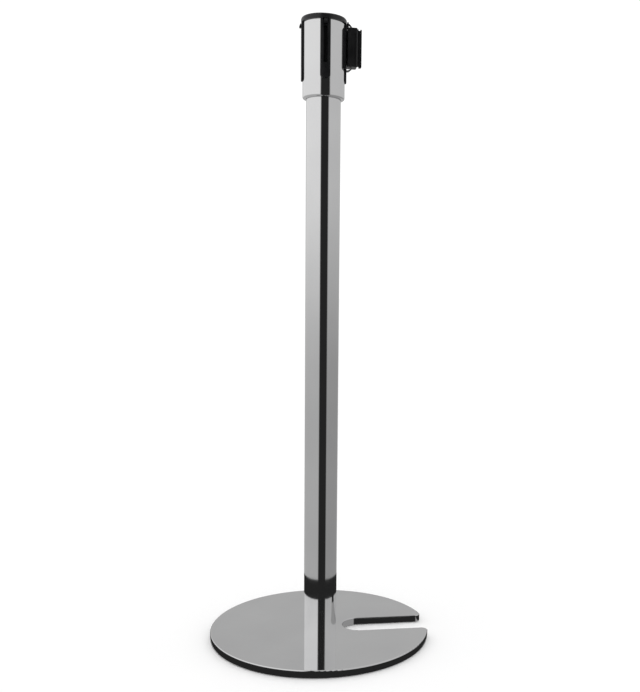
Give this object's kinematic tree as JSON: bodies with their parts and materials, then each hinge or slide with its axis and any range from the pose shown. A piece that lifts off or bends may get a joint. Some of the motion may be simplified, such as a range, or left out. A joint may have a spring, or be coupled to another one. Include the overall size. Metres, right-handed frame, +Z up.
{
  "type": "retractable belt stanchion",
  "caption": "Polished crowd-control post with a sprung retractable belt, a four-way receiver head and a round slotted base that nests with its neighbours.",
  "frame": {"origin": "on the post's axis at floor level, the middle of the rubber cover under the base", "axes": "+Z up along the post, +X towards the belt outlet, the parked clip and the base's nesting slot, +Y towards the back receiver"},
  "size_m": [0.3361, 0.34, 0.9285],
  "materials": {
    "polished_steel": "mirror polished",
    "black_plastic": "fine moulded texture",
    "inner_plastic": "moulded, natural",
    "zinc_steel": "zinc plated",
    "spring_steel": "blued spring strip",
    "cast_alloy": "as cast, turned faces",
    "black_screw": "black oxide",
    "rubber": "matt",
    "belt_fabric": "plain woven webbing"
  },
  "bodies": {
    "root": {"base_plate": "polished_steel", "floor_pads": "rubber", "bolt_cover": "rubber", "base_bolt": "zinc_steel", "base_washer": "zinc_steel", "foot_plug": "zinc_steel", "post_tube": "polished_steel", "head_adapter": "cast_alloy", "adapter_screws": "zinc_steel", "head_sleeve": "polished_steel", "head_core": "black_plastic", "top_cap": "black_plastic", "cap_screws": "black_screw", "belt_outlet": "black_plastic", "catch_spring_front": "spring_steel", "catch_spring_left": "spring_steel", "catch_spring_back": "spring_steel", "cassette_case": "black_plastic", "cassette_lid": "black_plastic", "spring_barrel": "black_plastic", "mainspring": "spring_steel", "spool_axle": "zinc_steel", "axle_clip": "spring_steel", "belt_run": "belt_fabric", "guide_pins": "zinc_steel", "receiver_front": "black_plastic", "receiver_left": "black_plastic", "receiver_back": "black_plastic"},
    "spool": {"spool": "inner_plastic", "spring_arbor": "zinc_steel", "lower_bush": "inner_plastic", "upper_bush": "inner_plastic", "belt_coil": "belt_fabric"},
    "clip": {"clip_body": "black_plastic", "clip_cover": "black_plastic", "clip_tongue": "black_plastic", "belt_anchor_pin": "zinc_steel", "clip_screws": "black_screw", "belt_end": "belt_fabric"},
    "catch_front": {"catch_front": "black_plastic"},
    "catch_left": {"catch_left": "black_plastic"},
    "catch_back": {"catch_back": "black_plastic"},
    "park_catch": {"park_catch": "black_plastic"}
  },
  "joints": [
    {"name": "belt_pull", "type": "slide", "parent": "root", "child": "clip", "axis": [1, 0, 0], "range_m": [0, 2], "stiffness_N_per_m": 0.6, "springref_m": -1.5},
    {"name": "spool_turn", "type": "hinge", "parent": "root", "child": "spool", "pos_m": [0, 0, 0.889], "axis": [0, 0, -1], "range_deg": [0, 6960]},
    {"name": "catch_front_lift", "type": "slide", "parent": "root", "child": "catch_front", "axis": [0, 0, 1], "range_m": [0, 0.0024], "stiffness_N_per_m": 150, "deforming": ["catch_spring_front"]},
    {"name": "catch_left_lift", "type": "slide", "parent": "root", "child": "catch_left", "axis": [0, 0, 1], "range_m": [0, 0.0024], "stiffness_N_per_m": 150, "deforming": ["catch_spring_left"]},
    {"name": "catch_back_lift", "type": "slide", "parent": "root", "child": "catch_back", "axis": [0, 0, 1], "range_m": [0, 0.0024], "stiffness_N_per_m": 150, "deforming": ["catch_spring_back"]},
    {"name": "park_catch_lift", "type": "hinge", "parent": "root", "child": "park_catch", "pos_m": [0.0345, 0, 0.9232], "axis": [0, -1, 0], "range_deg": [0, 25], "stiffness_Nm_per_rad": 0.02}
  ],
  "couplings": [
    {"joint": "spool_turn", "follows": "belt_pull", "rad_per_m": 60.6}
  ]
}
